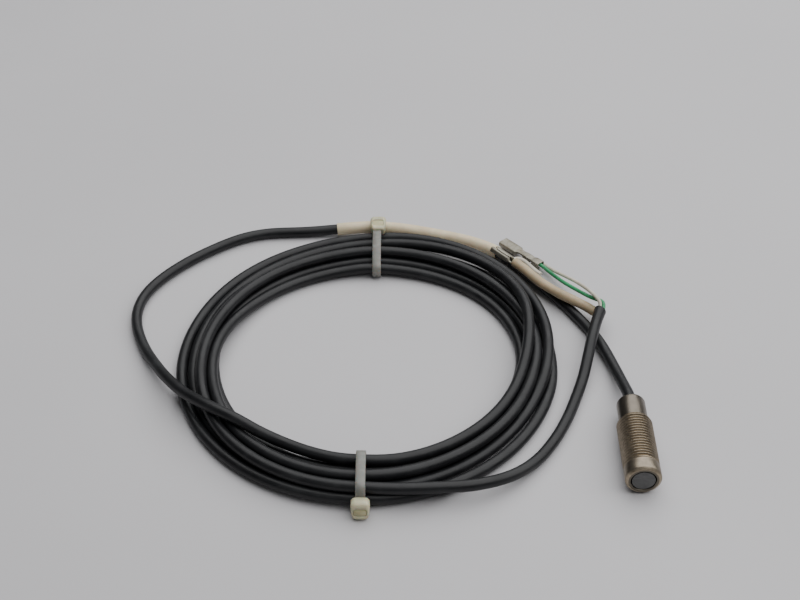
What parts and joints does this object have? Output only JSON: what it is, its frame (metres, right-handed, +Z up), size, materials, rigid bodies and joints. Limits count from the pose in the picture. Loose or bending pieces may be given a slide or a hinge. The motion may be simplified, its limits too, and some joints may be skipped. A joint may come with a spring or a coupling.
{
  "type": "cylindrical proximity sensor with lead",
  "caption": "Small threaded metal proximity sensor with a dark round sensing face, a long black cable coiled and tied, a cream sleeve and bare blade terminals on its wires.",
  "frame": {"origin": "on the surface that the sensor lies on, below the middle of its barrel", "axes": "+Y along the barrel from the sensing face to the cable end, +Z up, +X to the right seen from behind the sensing face's side"},
  "size_m": [0.1525, 0.1287, 0.01],
  "materials": {
    "nickel": "nickel plated, satin, machined",
    "face_plastic": "dark grey moulded plastic with faint scratches",
    "ferrite": "sintered ferrite",
    "copper_wire": "enamelled copper winding",
    "holder_plastic": "moulded",
    "board": "solder mask on glass-epoxy",
    "component_black": "moulded epoxy package",
    "component_yellow": "moulded epoxy package",
    "component_tan": "ceramic chip",
    "resin": "cast black resin",
    "cable_jacket": "extruded black PVC, semi-gloss",
    "cream_sleeve": "aged cream PVC tubing",
    "green_insulation": "extruded green PVC",
    "white_insulation": "extruded off-white PVC",
    "tinned_metal": "tin plated, stamped, slightly dull",
    "nylon": "natural nylon, slightly translucent, heads yellowed"
  },
  "bodies": {
    "root": {"threaded_barrel": "nickel", "sensing_face_cap": "face_plastic", "ferrite_core": "ferrite", "sensing_coil": "copper_wire", "core_holder": "holder_plastic", "circuit_board": "board", "oscillator_chip": "component_black", "output_transistor": "component_black", "sensitivity_resistor": "component_black", "surge_diode": "component_black", "tantalum_capacitor": "component_yellow", "ceramic_capacitor": "component_tan", "inner_green_wire": "green_insulation", "inner_white_wire": "white_insulation", "inner_sleeved_wire": "cream_sleeve", "cable_inner_end": "cable_jacket", "cable_clamp_ring": "tinned_metal", "rear_seal": "resin", "cable_lead": "cable_jacket", "protective_sleeve": "cream_sleeve", "cable_loop": "cable_jacket", "cable_coil": "cable_jacket", "cable_tail": "cable_jacket", "wire_sleeve": "cream_sleeve", "green_wire": "green_insulation", "white_wire": "white_insulation", "blade_terminal_lying": "tinned_metal", "blade_terminal_leaning": "tinned_metal", "cable_tie_front": "nylon", "cable_tie_back": "nylon"}
  },
  "joints": []
}
